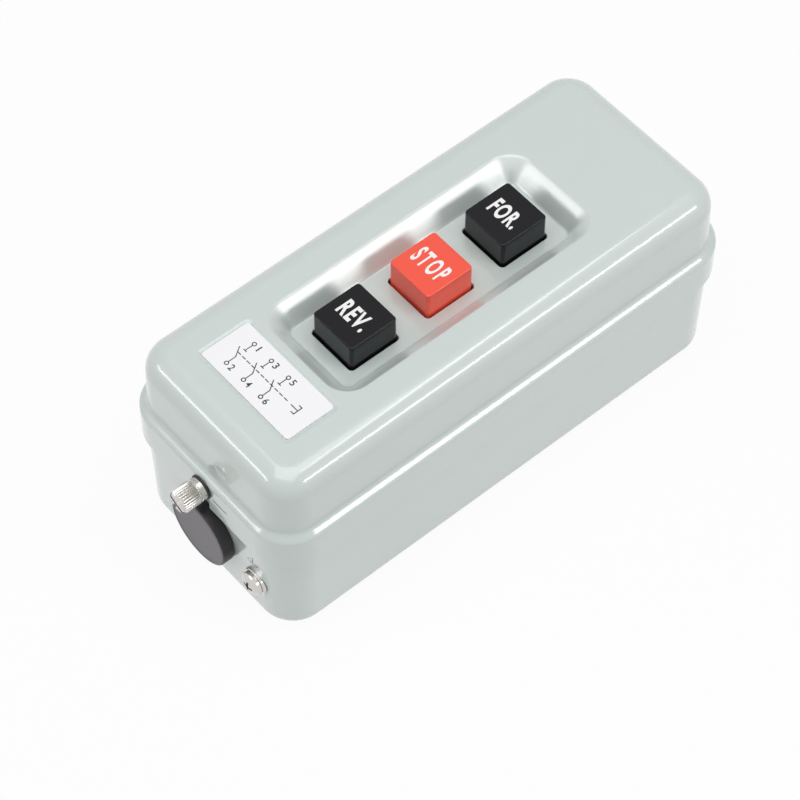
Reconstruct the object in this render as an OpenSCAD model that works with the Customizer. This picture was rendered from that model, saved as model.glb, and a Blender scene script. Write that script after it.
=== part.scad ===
// Three-pole reversing pushbutton switch in a pressed-steel box, lying on its back.
// X runs along the box, with the label and thumbscrew at its -X end; Z is up.
// The origin is the centre of the tray's flat underside.
// The box is worked out from the switch unit inside it, outwards and upwards.

/* [Switch unit] */
// Spacing of the three buttons
button_pitch = 26.1; // [24:0.1:28]
// Distance of the middle button from the middle of the box, towards the label
button_shift = 1; // [0:0.5:3]
// Spacing of the three poles
pole_pitch = 15; // [14:0.5:18]
// Height of the block's underside above the mounting face
block_z = 4; // [3.5:0.5:6]
// Thickness of the terminal block
block_thickness = 10; // [9:0.5:14]
// Height of the barriers between the poles
barrier_height = 6; // [4:0.5:6]
// Thickness of the brass strips
strip_thickness = 1.2; // [1:0.1:1.5]
// Distance of each fixed contact from its plunger, along the box
contact_offset = 6.5; // [6.2:0.1:6.8]
// Thickness of a contact button
contact_tip = 0.8; // [0.6:0.1:1]
// Diameter of a contact button
contact_tip_d = 4.4; // [3.8:0.1:4.6]
// Gap that a bridge closes when its button goes down
contact_gap = 4.2; // [4:0.1:5]
// Height of the springs over the bridges
contact_spring_height = 4.8; // [4.4:0.1:7]
// Thickness of the contact carriers
carrier_thickness = 6; // [5:0.5:8]
// Diameter of the plunger stems
stem_d = 8; // [7:0.5:8]
// Running gap round a stem in the frame's top
stem_gap = 0.3; // [0.2:0.05:0.5]
// Thickness of the frame's sheet
frame_sheet = 1.2; // [1:0.1:1.5]
// Travel of the forward and reverse buttons
run_travel = 5; // [4:0.5:5]
// Travel of the stop button
stop_travel = 4; // [3:0.5:4.5]
// Travel of the latch plate when the stop button goes down
latch_travel = 2.5; // [2:0.1:2.5]

/* [Cover] */
// Length left free for cable tails between the block and the tray's near end
wiring_length = 18.1; // [15:0.1:30]
// Gap between the terminal block and the tray's long walls
block_side_gap = 1.2; // [0.8:0.1:6]
// Gap between the frame's top and the underside of the dish
frame_gap = 10.8; // [8:0.1:14]
// Plan radius of the skirt's corners
skirt_radius = 12.5; // [11.5:0.5:16]
// Height of the skirt's lower edge
skirt_edge_z = 33; // [26:0.5:34]
// Height of the straight part of the skirt
skirt_height = 10.5; // [10:0.5:11.5]
// How far the cover's walls stand in from the skirt
joggle_depth = 2.2; // [1.8:0.1:2.6]
// Height over which the skirt steps in to the walls
joggle_height = 3; // [2.5:0.1:3.5]
// Lean of the cover's walls between the step and the top fillet
cover_draft = 0.4; // [0:0.1:0.8]
// Radius of the fillet round the cover's top
cover_fillet = 7.5; // [4:0.5:8.5]
// Thickness of the cover's sheet
cover_sheet = 1; // [0.8:0.1:1.2]
// Gap between the skirt and the tray's rim
lap_clearance = 0.3; // [0.2:0.05:0.5]

/* [Tray] */
// Thickness of the tray's sheet
tray_sheet = 1.2; // [1:0.1:1.5]
// Lean of the tray's walls from rim to floor
tray_draft = 0.8; // [0:0.1:1.2]
// Outside radius round the tray's floor
tray_edge_radius = 4; // [3:0.5:5]
// Gap between the tray's rim and the cover's step
rim_gap = 0.3; // [0.2:0.1:0.5]
// Distance of each fixing hole from the tray's end
mount_inset = 13.7; // [12:0.1:15]
// Diameter of the fixing holes
mount_hole_d = 5; // [4:0.5:6]

/* [Dish and windows] */
// Length of the dish at its lip
dish_length = 88.6; // [84:0.2:92]
// Width of the dish at its lip
dish_width = 34.6; // [30:0.2:36]
// Depth of the dish's floor below the cover's top
dish_depth = 6.2; // [5:0.1:7.5]
// Run of the dish's sloping side
dish_slope = 5.6; // [3:0.1:6]
// Plan radius of the dish's corners at the lip
dish_radius = 8; // [7:0.5:10]
// Gap all round between a button and its window
window_gap = 0.5; // [0.3:0.1:0.8]
// Corner radius of the windows
window_radius = 1.2; // [0.8:0.1:2]

/* [Buttons] */
// Width and length of a square button
button_size = 15.6; // [14.6:0.1:17]
// Height of the button tops above the cover's top
button_proud = 2.3; // [1.5:0.1:4]
// Corner radius of a button
button_radius = 0.6; // [0.6:0.1:1.5]
// Radius round the button's top face
button_edge = 0.5; // [0.3:0.1:0.8]
// Wall thickness of a button
button_wall = 1.3; // [1:0.1:1.6]
// Thickness of a button's top
button_crown = 1.8; // [1.4:0.1:2.2]

/* [Label] */
// Width of the label, across the box
label_width = 35.4; // [30:0.2:38]
// Length of the label, along the box
label_length = 15.7; // [12:0.1:17]
// Thickness of the label
label_thickness = 0.5; // [0.4:0.1:0.8]
// Depth of the seat pressed for the label
label_seat_depth = 0.3; // [0.1:0.1:0.5]
// Margin of the seat round the label
label_margin = 1.4; // [0.8:0.1:2]
// Distance of the label's middle from the end of the skirt
label_inset = 23.6; // [22:0.1:25]

/* [Thumbscrew] */
// Distance of the thumbscrew's axis below the foot of the step
thumb_drop = 2.5; // [2.5:0.1:4]
// Distance of the thumbscrew's axis from the middle of the end
thumb_shift = 1; // [0:0.5:2]
// Diameter of the knurled head
thumb_head_d = 7; // [6:0.2:9]
// Length of the knurled head
thumb_head_length = 6.6; // [5:0.2:9]
// Diameter of the threaded shank
thumb_shank_d = 4; // [3:0.5:4]
// Length of the shank under the head
thumb_shank_length = 9; // [8:0.5:10]
// Diameter of the washer under the head
thumb_washer_d = 7.8; // [7.4:0.1:9]
// Thickness of the washer under the head
thumb_washer_thickness = 0.9; // [0.6:0.1:1.2]
// Number of grooves in the knurl
knurl_count = 22; // [16:1:26]

/* [Cable plugs] */
// Diameter of the plug's outer head
plug_head_d = 22.4; // [20:0.2:24]
// Thickness of the plug's outer head
plug_head_thickness = 4; // [3:0.2:5]
// Diameter of the cable hole that the plug fills
plug_hole_d = 19; // [17:0.5:20]
// Diameter of the plug's inner lip
plug_lip_d = 21; // [20:0.2:22]
// Height of the plug's axis
plug_z = 20.5; // [18:0.1:20.5]

/* [Earth screw] */
// Diameter of the earth screw's washer
earth_washer_d = 8.6; // [8:0.1:9.5]
// Diameter of the earth screw's head
earth_head_d = 7.2; // [6.5:0.1:7.6]
// Diameter of the earth screw's shank
earth_shank_d = 4; // [3:0.5:4]
// Distance of the earth screw from the tray's long side
earth_inset = 13.1; // [12.5:0.1:15]
// Height of the earth screw
earth_z = 15.6; // [14:0.1:17]

/* [Hidden] */

// Smoothness of round surfaces, steps in a pressed curve, and how far a cut runs past a face
$fn = 48;
arc_steps = 8;
step_steps = 8;
overrun = 1;

// Clearances for holes: round a screw, a pressed pin and a post
hole_gap = 0.4;
tight_fit = 0.05;
post_fit = 0.05;

// Places of the three plungers along the box
stop_x = -button_shift;
reverse_x = stop_x - button_pitch;
forward_x = stop_x + button_pitch;

// Heights in the switch unit, from the block up to the frame's top
bridge_thickness = 1.2;
hub_height = 3.5;
latch_rest_gap = 1.5;
latch_thickness = 1.2;
latch_headroom = 7.6;
block_top_z = block_z + block_thickness;
strip_top_z = block_top_z + strip_thickness;
fixed_contact_z = strip_top_z + contact_tip;
bridge_z = fixed_contact_z + contact_gap + contact_tip;
bridge_top_z = bridge_z + bridge_thickness;
carrier_z = bridge_top_z + contact_spring_height;
carrier_top_z = carrier_z + carrier_thickness;
latch_z = carrier_top_z + hub_height + latch_rest_gap;
latch_top_z = latch_z + latch_thickness;
frame_under_z = latch_top_z + latch_headroom;
frame_top_z = frame_under_z + frame_sheet;

// Lanes of the poles: in each a pad on the middle and a rail along one edge
barrier_thickness = 1.6;
strip_gap = 0.5;
pad_share = 0.42;
rail_share = 0.58;
lane_places = [-pole_pitch, 0, pole_pitch];
rail_outer = (pole_pitch - barrier_thickness) / 2 - strip_gap;
rail_inner = rail_outer * rail_share;
pad_half = rail_outer * pad_share;
pad_reach = 3;

// Frame: a bent channel over the block, with feet outside its sides and a tab at its far end
frame_lane_gap = 1;
frame_end = 14.9;
frame_half_x = button_pitch + frame_end;
frame_inner_y = pole_pitch + rail_outer + frame_lane_gap;
frame_outer_y = frame_inner_y + frame_sheet;
foot_reach = 5.8;
foot_length = 9;
foot_inset = 11;
foot_place = frame_half_x - foot_inset;
foot_hole_y = frame_outer_y + foot_reach / 2;
frame_screw_d = 3;
frame_screw_head_d = 5.4;
frame_screw_head = 2;
frame_screw_length = 9;
frame_tab_reach = 6;
frame_tab_x = frame_half_x + frame_tab_reach;
frame_tab_half = 5;
frame_tab_drop = 4;
frame_tab_z = latch_z - frame_tab_drop;

// Terminal block, its ears, and the terminals at its ends
block_margin = 0.3;
terminal_zone = 8;
block_length = 2 * (frame_half_x + terminal_zone);
block_width = 2 * (frame_outer_y + foot_reach + block_margin);
ear_half_x = 4.3;
ear_half_y = 6;
ear_thickness = 6;
strip_margin = 2;
terminal_pad_length = 9.4;
terminal_screw_d = 3.4;
terminal_head_d = 6.4;
terminal_head = 2.4;
terminal_depth = 8;
screw_slot = 0.9;
screw_slot_depth = 1;
clamp_size = 7;
clamp_thickness = 1;
clamp_edge_gap = 1.1;
terminal_shift = rail_outer - clamp_size / 2 - clamp_edge_gap;
line_screw_x = stop_x - block_length / 2 + strip_margin + terminal_pad_length / 2;
motor_screw_x = stop_x + block_length / 2 - strip_margin - terminal_pad_length / 2;

// Half sizes and plan radius of the tray's rim, and of the cover's skirt round it
tray_x = button_shift + block_length / 2 + 2 * ear_half_x + wiring_length + tray_sheet + tray_draft;
tray_y = block_width / 2 + block_side_gap + tray_sheet + tray_draft;
tray_radius = skirt_radius - cover_sheet - lap_clearance;
tray_end_inner = tray_x - tray_sheet - tray_draft;
skirt_x = tray_x + lap_clearance + cover_sheet;
skirt_y = tray_y + lap_clearance + cover_sheet;
mount_x = tray_x - mount_inset;

// Heights of the cover. The tray's rim stops short of the step's underside.
step_z = skirt_edge_z + skirt_height;
wall_z = step_z + joggle_height;
wall_inset = joggle_depth + cover_draft;
dish_floor_z = frame_top_z + frame_gap + cover_sheet;
enclosure_height = dish_floor_z + dish_depth;
fillet_z = enclosure_height - cover_fillet;
rim_share = acos(1 - 2 * lap_clearance / joggle_depth) / 180;
tray_z = step_z - cover_sheet / 2 + joggle_height * rim_share - rim_gap;

// Buttons
button_floor_gap = 0.5;
button_top_z = enclosure_height + button_proud;
button_base_z = frame_top_z + run_travel + button_floor_gap;
button_ceiling_z = button_top_z - button_crown;
window_size = button_size + 2 * window_gap;
label_shift = skirt_x - label_inset;

// Carriers, bridges and the posts that hold them
carrier_half_x = 5;
carrier_side_gap = 1.8;
carrier_half_y = frame_inner_y - carrier_side_gap;
hub_size = 12;
bridge_half = 9;
bridge_width = 5;
bridge_hole_gap = 0.25;
post_d = 2.6;
post_head_d = 4.2;
post_head_thickness = 1.3;
post_gap = 0.1;
post_depth = 4;
pin_d = 2;
pin_height = 1.8;
pin_z = carrier_top_z + pin_height;

// Latch plate, its ears and windows, and the wedge on the stop plunger
latch_end_gap = 1;
latch_side_gap = 0.6;
latch_half_x = frame_half_x - latch_end_gap;
latch_half_y = frame_inner_y - latch_side_gap;
latch_ear_out = 1.2;
latch_ear_reach = frame_outer_y + latch_ear_out;
latch_ear_length = 8;
latch_ear_inset = 11;
latch_ear_place = latch_half_x - latch_ear_inset;
latch_tail_length = 2;
latch_gap = 0.4;
latch_slot_gap = 0.3;
tooth_reach = 1.6;
tooth_height = 1.6;
tooth_width = 5;
wedge_slope = latch_travel / stop_travel;
wedge_drop = 2;
wedge_height = 8;
wedge_width = 6;
wedge_gap = 0.35;
wedge_base_z = latch_z - wedge_drop;
stop_stem_end = 0.5;
stop_stem_z = wedge_base_z - stop_stem_end;

// Springs: wire, mean diameter and turns. Each is a tube of six sides, eight rings to a turn.
coil_sides = 6;
coil_rings = 8;
return_wire = 1;
return_coil_d = 10;
return_turns = 6;
contact_wire = 0.6;
contact_coil_d = 4.2;
contact_turns = 3;
latch_wire = 0.7;
latch_coil_d = 3.8;
latch_turns = 3.5;

// Crossed links between the outer poles
link_width = 4;
link_thickness = 1;
link_margin = 1;
link_reach = 10;
link_clearance = 7;
link_spacing = 3;
link_lower_z = block_top_z + link_clearance;
link_upper_z = link_lower_z + link_spacing;
link_near_x = stop_x - link_reach;
link_far_x = stop_x + link_reach;
link_far_shift = (rail_outer - pad_half) / 2;

// Studs, nuts and the sheet under the block
stud_d = 4;
stud_collar_d = 8;
stud_inset = 9.5;
stud_x = block_length / 2 + ear_half_x;
stud_y = block_width / 2 - stud_inset;
stud_top_gap = 1.8;
nut_across_flats = 7;
nut_height = 3.2;
sheet_thickness = 0.5;
sheet_end = 1;
sheet_inset = 3.5;
sheet_gap = 0.3;
sheet_length = block_length + 4 * ear_half_x + 2 * sheet_end;
sheet_width = block_width - 2 * sheet_inset;

// Thumbscrew: the skirt's slot, the tray's notch and the tapped clip behind it
thumb_z = step_z - thumb_drop;
thumb_seat_gap = 0.15;
thumb_seat_x = skirt_x + thumb_seat_gap;
thumb_slot_gap = 0.4;
thumb_hole_gap = 0.3;
thumb_collar_thickness = 1;
thumb_dome = 0.8;
clip_width = 13;
clip_thickness = 1.2;
clip_boss_d = 7;
clip_boss_length = 3;
clip_drop = 4.5;
clip_base_z = thumb_z - clip_drop;
clip_rim_gap = 0.3;
knurl_groove_d = 0.7;
recess_width = 0.9;
recess_depth = 1;
recess_length = 4.4;

// Slit below the step and dimple above it, in the near end of the cover
slit_length = 6;
slit_height = 0.6;
slit_shift = 8;
slit_drop = 4.3;
slit_z = step_z - slit_drop;
dimple_r = 6;
dimple_depth = 0.4;
dimple_shift = 6.5;
dimple_rise = 4.5;
dimple_z = wall_z + dimple_rise;

// Tongue behind the far end's wall
tongue_width = 16;
tongue_thickness = 0.8;
tongue_low_rise = 1;
tongue_top_gap = 1.5;
tongue_low_z = skirt_edge_z + tongue_low_rise;
tongue_high_z = fillet_z - tongue_top_gap;

// Plug proportions
plug_neck_gap = 0.3;
plug_lip_thickness = 1.5;
plug_lip_gap = 0.1;
plug_taper = 0.6;
plug_edge = 1.2;

// Earth screw
earth_shift = tray_y - earth_inset;
earth_washer_thickness = 0.8;
earth_head = 2.4;
earth_shank_length = 8;
earth_nut_height = 3;
earth_hole_gap = 0.2;

// Outer surface of the tray's end wall at a height
function tray_wall_x(z) = tray_x - tray_draft * (tray_z - z) / (tray_z - tray_edge_radius);

// Points [inset, z] round a quarter circle that starts on the wall and ends on the flat
function fillet_points(inset, z, radius, up) =
    [for (i = [0:arc_steps]) let (a = 90 * i / arc_steps)
        [inset + radius * (1 - cos(a)), z + up * radius * sin(a)]];

// Points [inset, z] up a quarter circle from the tray's floor to its wall
function floor_points(inset, radius) =
    let (down = fillet_points(inset, tray_edge_radius, radius, -1))
    [for (i = [arc_steps:-1:0]) down[i]];

// Points [inset, z] of a smooth step: a half wave from the first place to the second
function step_points(inset0, z0, inset1, z1) =
    [for (i = [0:step_steps]) let (t = i / step_steps)
        [inset0 + (inset1 - inset0) * (1 - cos(180 * t)) / 2, z0 + (z1 - z0) * t]];

// Points [inset, z] of a pressed slope that is level at both ends
function slope_points(inset0, z0, inset1, z1) =
    [for (i = [0:step_steps]) let (t = i / step_steps)
        [inset0 + (inset1 - inset0) * t, z0 + (z1 - z0) * (1 - cos(180 * t)) / 2]];

// Solid with a rounded-rectangle plan whose sides follow the points [inset, z]
module pressed_block(half_x, half_y, radius, side) {
    low = side[0][1];
    high = side[len(side) - 1][1];
    rotate([90, 0, 90]) translate([0, 0, radius - half_x])
        linear_extrude(2 * (half_x - radius)) pressed_section(half_y, side);
    rotate([90, 0, 0]) translate([0, 0, radius - half_y])
        linear_extrude(2 * (half_y - radius)) pressed_section(half_x, side);
    for (x = [-1, 1], y = [-1, 1])
        translate([x * (half_x - radius), y * (half_y - radius), 0])
            rotate_extrude()
                polygon(concat([[0, low]], [for (p = side) [radius - p[0], p[1]]], [[0, high]]));
}

// Section across a pressed block
module pressed_section(half, side) {
    last = len(side) - 1;
    polygon(concat(
        [for (p = side) [half - p[0], p[1]]],
        [for (i = [last:-1:0]) [side[i][0] - half, side[i][1]]]));
}

// Rounded square, centred
module rounded_square(size_x, size_y, radius) {
    square([size_x - 2 * radius, size_y], center = true);
    square([size_x, size_y - 2 * radius], center = true);
    for (x = [-1, 1], y = [-1, 1])
        translate([x * (size_x / 2 - radius), y * (size_y / 2 - radius)]) circle(radius);
}

// Box between two corners
module block(low, high) {
    translate(low) cube(high - low);
}

// Cylinder along X between two places
module rod_x(x0, x1, diameter, sides = $fn) {
    translate([min(x0, x1), 0, 0]) rotate([0, 90, 0])
        cylinder(h = abs(x1 - x0), d = diameter, $fn = sides);
}

// Copies at the four corners of a rectangle
module at_corners(x, y) {
    for (i = [-1, 1], j = [-1, 1]) translate([i * x, j * y, 0]) children();
}

// Rings of a spring along Z, each [angle, height]. The first and last stand on its ends.
function coil_places(wire, height, turns) =
    let (rings = ceil(turns * coil_rings), run = height - 2 * wire)
    concat([[0, 0]],
        [for (i = [0:rings]) [360 * turns * i / rings, wire + run * i / rings]],
        [[360 * turns, height]]);

// Least gap of a spring to itself, measured between its rings' centres half a turn or more apart
function coil_gap(diameter, wire, height, turns) =
    let (centres = [for (p = coil_places(wire, height, turns))
            [diameter / 2 * cos(p[0]), diameter / 2 * sin(p[0]), p[1]]],
        last = len(centres) - 1, apart = floor(coil_rings / 2) + 1)
    min([for (i = [0:last - apart], j = [i + apart:last]) norm(centres[i] - centres[j])]) - wire;

// Coil spring along Z, with its wire upright at both ends
module coil(diameter, wire, height, turns) {
    places = coil_places(wire, height, turns);
    count = len(places);
    slope = atan2((height - 2 * wire) / turns, PI * diameter);
    points = [for (i = [0:count - 1], k = [0:coil_sides - 1])
        let (a = places[i][0], tilt = i == 0 || i == count - 1 ? 90 : slope,
            s = 360 * k / coil_sides, out = wire / 2 * cos(s), along = wire / 2 * sin(s))
        [(diameter / 2 + out) * cos(a) + along * sin(tilt) * sin(a),
         (diameter / 2 + out) * sin(a) - along * sin(tilt) * cos(a),
         places[i][1] + along * cos(tilt)]];
    sides = [for (i = [0:count - 2], k = [0:coil_sides - 1])
        let (n = (k + 1) % coil_sides, a = i * coil_sides, b = a + coil_sides)
        each [[a + k, b + k, b + n], [a + k, b + n, a + n]]];
    ends = [[for (k = [0:coil_sides - 1]) k],
        [for (k = [coil_sides - 1:-1:0]) (count - 1) * coil_sides + k]];
    polyhedron(points = points, faces = concat(sides, ends), convexity = 10);
}

// Cover's skirt, step, wall and top fillet. sheet is zero for its outside.
module cover_form(sheet) {
    low = sheet > 0 ? skirt_edge_z - overrun : skirt_edge_z;
    side = concat(
        [[sheet, low]],
        step_points(sheet, step_z - sheet / 2, joggle_depth + sheet, wall_z - sheet / 2),
        fillet_points(wall_inset + sheet, fillet_z, cover_fillet - sheet, 1));
    pressed_block(skirt_x, skirt_y, skirt_radius, side);
}

// Dish pressed into the cover. sheet is zero for its upper surface.
module dish_form(sheet) {
    side = concat(
        slope_points(dish_slope - sheet, dish_floor_z - sheet, -sheet, enclosure_height - sheet),
        sheet > 0 ? [] : [[0, enclosure_height + overrun]]);
    translate([stop_x, 0, 0])
        pressed_block(dish_length / 2, dish_width / 2, dish_radius, side);
}

module cover() {
    color([0.82, 0.85, 0.83]) difference() {
        cover_form(0);
        dish_form(0);
        difference() {
            cover_form(cover_sheet);
            dish_form(cover_sheet);
        }
        for (x = [reverse_x, stop_x, forward_x]) translate([x, 0, dish_floor_z - cover_sheet - overrun])
            linear_extrude(cover_sheet + 2 * overrun)
                rounded_square(window_size, window_size, window_radius);
        label_seat();
        thumb_slot();
        slit();
        dimple();
    }
}

// Shallow seat for the label
module label_seat() {
    translate([-label_shift, 0, enclosure_height - label_seat_depth])
        linear_extrude(label_seat_depth + overrun)
            rounded_square(label_length + 2 * label_margin, label_width + 2 * label_margin, label_margin);
}

// Slot in the near skirt that drops over the thumbscrew's shank
module thumb_slot() {
    width = thumb_shank_d + 2 * thumb_slot_gap;
    translate([0, -thumb_shift, thumb_z]) {
        rod_x(-skirt_x - overrun, -tray_x + overrun, width);
        block([-skirt_x - overrun, -width / 2, skirt_edge_z - overrun - thumb_z],
            [-tray_x, width / 2, 0]);
    }
}

// Short slit beside the thumbscrew
module slit() {
    y = -slit_shift;
    block([-skirt_x - overrun, y - slit_length / 2, slit_z - slit_height / 2],
        [-skirt_x + cover_sheet + overrun / 2, y + slit_length / 2, slit_z + slit_height / 2]);
}

// Small round dent above the thumbscrew
module dimple() {
    face = -skirt_x + wall_inset;
    translate([face - dimple_r + dimple_depth, -dimple_shift, dimple_z]) sphere(dimple_r);
}

module rating_label() {
    color([0.96, 0.96, 0.97])
        translate([-label_shift, 0, enclosure_height - label_seat_depth])
            linear_extrude(label_thickness) square([label_length, label_width], center = true);
}

// Spring tongue on the inside of the cover's far wall
module cover_tongue() {
    x = skirt_x - wall_inset - cover_sheet;
    color([0.7, 0.72, 0.74])
        block([x - tongue_thickness, -tongue_width / 2, tongue_low_z],
            [x, tongue_width / 2, tongue_high_z]);
}

module base_tray() {
    outside = floor_points(tray_draft, tray_edge_radius);
    inside = floor_points(tray_draft + tray_sheet, tray_edge_radius - tray_sheet);
    color([0.8, 0.83, 0.82]) difference() {
        pressed_block(tray_x, tray_y, tray_radius, concat(outside, [[0, tray_z]]));
        pressed_block(tray_x, tray_y, tray_radius,
            concat(inside, [[tray_sheet, tray_z], [tray_sheet, tray_z + overrun]]));
        for (x = [-mount_x, mount_x]) translate([x, 0, -overrun])
            cylinder(h = tray_sheet + 2 * overrun, d = mount_hole_d);
        translate([0, 0, plug_z]) {
            rod_x(-tray_x - overrun, -tray_end_inner + overrun, plug_hole_d);
            rod_x(tray_end_inner - overrun, tray_x + overrun, plug_hole_d);
        }
        translate([0, -earth_shift, earth_z])
            rod_x(-tray_x - overrun, -tray_end_inner + overrun, earth_shank_d + 2 * earth_hole_gap);
        thumb_notch(-tray_x - overrun, -tray_end_inner + overrun);
    }
}

// Notch, open at the top, for the thumbscrew's shank
module thumb_notch(x0, x1) {
    width = thumb_shank_d + 2 * thumb_hole_gap;
    translate([0, -thumb_shift, thumb_z]) {
        rod_x(x0, x1, width);
        block([x0, -width / 2, 0], [x1, width / 2, tray_z + overrun - thumb_z]);
    }
}

// Hollow square cap, open below
module button(x) {
    side = concat([[0, button_base_z]],
        fillet_points(0, button_top_z - button_edge, button_edge, 1));
    translate([x, 0, 0]) difference() {
        pressed_block(button_size / 2, button_size / 2, button_radius, side);
        inner = button_size - 2 * button_wall;
        translate([0, 0, button_base_z - overrun])
            linear_extrude(button_ceiling_z - button_base_z + overrun)
                square(inner, center = true);
    }
}

module reverse_button() {
    color([0.14, 0.14, 0.16]) button(reverse_x);
}

module stop_button() {
    color([0.95, 0.3, 0.24]) button(stop_x);
}

module forward_button() {
    color([0.14, 0.14, 0.16]) button(forward_x);
}

// Plunger of a run button: a stem down into its carrier, with the tooth that the latch holds
module run_plunger(x) {
    translate([x, 0, 0]) difference() {
        union() {
            translate([0, 0, carrier_top_z])
                cylinder(h = button_ceiling_z - carrier_top_z, d = stem_d);
            block([0, -tooth_width / 2, latch_top_z + latch_gap],
                [stem_d / 2 + tooth_reach, tooth_width / 2, latch_top_z + latch_gap + tooth_height]);
        }
        pin_hole(stem_d);
    }
}

// Cross hole for the pin that joins a stem to its carrier
module pin_hole(width) {
    translate([0, width / 2 + overrun, pin_z]) rotate([90, 0, 0])
        cylinder(h = width + 2 * overrun, d = pin_d + 2 * tight_fit);
}

module reverse_plunger() {
    color([0.25, 0.2, 0.16]) run_plunger(reverse_x);
}

module forward_plunger() {
    color([0.25, 0.2, 0.16]) run_plunger(forward_x);
}

// Stop plunger: its wedge pushes the latch plate along as it goes down
module stop_plunger() {
    color([0.25, 0.2, 0.16]) translate([stop_x, 0, 0]) {
        translate([0, 0, stop_stem_z]) cylinder(h = button_ceiling_z - stop_stem_z, d = stem_d);
        translate([0, wedge_width / 2, wedge_base_z]) rotate([90, 0, 0])
            linear_extrude(wedge_width) polygon([
                [0, 0], [stem_d / 2, 0],
                [stem_d / 2 + wedge_slope * wedge_height, wedge_height], [0, wedge_height]]);
    }
}

// Return spring between the frame's top and a button's ceiling
module return_spring(x) {
    color([0.75, 0.76, 0.78]) translate([x, 0, frame_top_z])
        coil(return_coil_d, return_wire, button_ceiling_z - frame_top_z, return_turns);
}

// Insulating crossbar that carries three bridges, with a hub for the stem
module carrier(x) {
    color([0.3, 0.22, 0.16]) translate([x, 0, 0]) difference() {
        union() {
            block([-carrier_half_x, -carrier_half_y, carrier_z],
                [carrier_half_x, carrier_half_y, carrier_top_z]);
            block([-hub_size / 2, -hub_size / 2, carrier_z],
                [hub_size / 2, hub_size / 2, carrier_top_z + hub_height]);
        }
        translate([0, 0, carrier_top_z]) cylinder(h = hub_height + overrun, d = stem_d + 2 * tight_fit);
        pin_hole(hub_size);
        for (y = lane_places) translate([0, y, carrier_z - overrun])
            cylinder(h = post_depth + overrun, d = post_d + 2 * post_fit);
    }
}

// Pin through a carrier's hub and its stem
module carrier_pin(x) {
    color([0.72, 0.73, 0.75]) translate([x, hub_size / 2, pin_z]) rotate([90, 0, 0])
        cylinder(h = hub_size, d = pin_d);
}

// Headed posts that hold the bridges up against their springs
module contact_posts(x) {
    color([0.78, 0.68, 0.4]) for (y = lane_places) translate([x, y, 0]) {
        head_z = bridge_z - post_gap - post_head_thickness;
        translate([0, 0, head_z]) cylinder(h = post_head_thickness, d = post_head_d);
        translate([0, 0, head_z]) cylinder(h = carrier_z + post_depth - head_z, d = post_d);
    }
}

// Moving bridges with a contact button under each end
module bridges(x) {
    color([0.82, 0.55, 0.35]) for (y = lane_places) translate([x, y, 0]) {
        difference() {
            block([-bridge_half, -bridge_width / 2, bridge_z],
                [bridge_half, bridge_width / 2, bridge_top_z]);
            translate([0, 0, bridge_z - overrun])
                cylinder(h = bridge_thickness + 2 * overrun, d = post_d + 2 * bridge_hole_gap);
        }
        for (side = [-1, 1]) translate([side * contact_offset, 0, bridge_z - contact_tip])
            cylinder(h = contact_tip, d = contact_tip_d);
    }
}

// Springs between the carrier and its bridges
module contact_springs(x) {
    color([0.75, 0.76, 0.78]) for (y = lane_places) translate([x, y, bridge_top_z])
        coil(contact_coil_d, contact_wire, contact_spring_height, contact_turns);
}

// Sliding plate with a window for each stem and ears in the frame's sides
module latch_plate() {
    near = -stem_d / 2 - latch_travel - latch_gap;
    run_far = stem_d / 2 + tooth_reach + latch_gap;
    stop_far = stem_d / 2 + wedge_slope * (latch_top_z - wedge_base_z) + wedge_gap;
    half = stem_d / 2 + latch_gap;
    color([0.7, 0.72, 0.74]) difference() {
        union() {
            block([stop_x - latch_half_x, -latch_half_y, latch_z],
                [stop_x + latch_half_x, latch_half_y, latch_top_z]);
            for (x = [-latch_ear_place, latch_ear_place])
                block([stop_x + x - latch_ear_length / 2, -latch_ear_reach, latch_z],
                    [stop_x + x + latch_ear_length / 2, latch_ear_reach, latch_top_z]);
            block([stop_x + latch_half_x, -latch_thickness / 2, latch_z],
                [stop_x + latch_half_x + latch_tail_length, latch_thickness / 2, latch_top_z]);
        }
        for (x = [reverse_x, forward_x])
            block([x + near, -half, latch_z - overrun], [x + run_far, half, latch_top_z + overrun]);
        block([stop_x + near, -half, latch_z - overrun],
            [stop_x + stop_far, half, latch_top_z + overrun]);
    }
}

// Spring between the latch plate's end and the frame's tab
module latch_spring() {
    start = stop_x + latch_half_x;
    color([0.75, 0.76, 0.78]) translate([start, 0, latch_z + latch_thickness / 2])
        rotate([0, 90, 0])
            coil(latch_coil_d, latch_wire, frame_tab_x - latch_half_x, latch_turns);
}

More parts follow.
